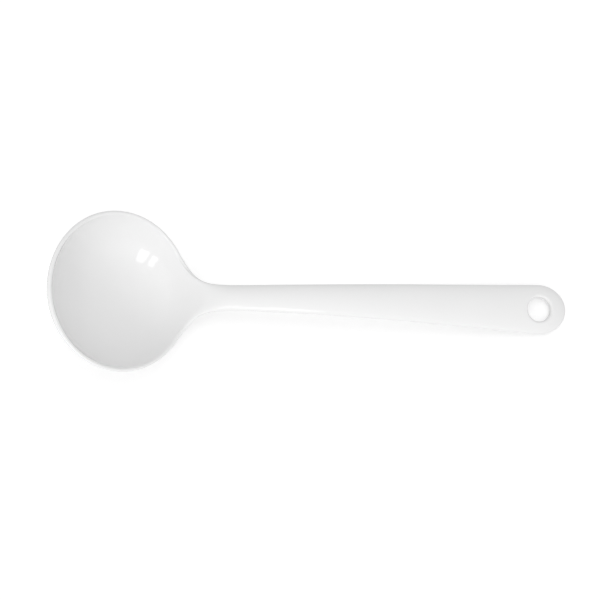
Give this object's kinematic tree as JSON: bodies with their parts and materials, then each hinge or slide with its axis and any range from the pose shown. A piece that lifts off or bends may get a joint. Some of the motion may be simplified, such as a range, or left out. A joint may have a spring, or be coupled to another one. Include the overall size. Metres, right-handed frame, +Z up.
{
  "type": "sauce ladle",
  "caption": "White moulded sauce ladle: a round bowl flares into a slim arched neck and a straight widening handle with a rounded end and a hanging hole.",
  "frame": {"origin": "on the table, under the middle of the ladle as it lies on its bowl and on the tip of its handle", "axes": "+X from the bowl to the tip of the handle, +Z up, the same on both sides of the XZ plane"},
  "size_m": [0.194, 0.06, 0.0414],
  "materials": {
    "white_plastic": "smooth gloss, moulded"
  },
  "bodies": {
    "root": {"bowl": "white_plastic", "neck": "white_plastic", "handle": "white_plastic", "hanging_eye": "white_plastic"}
  },
  "joints": []
}
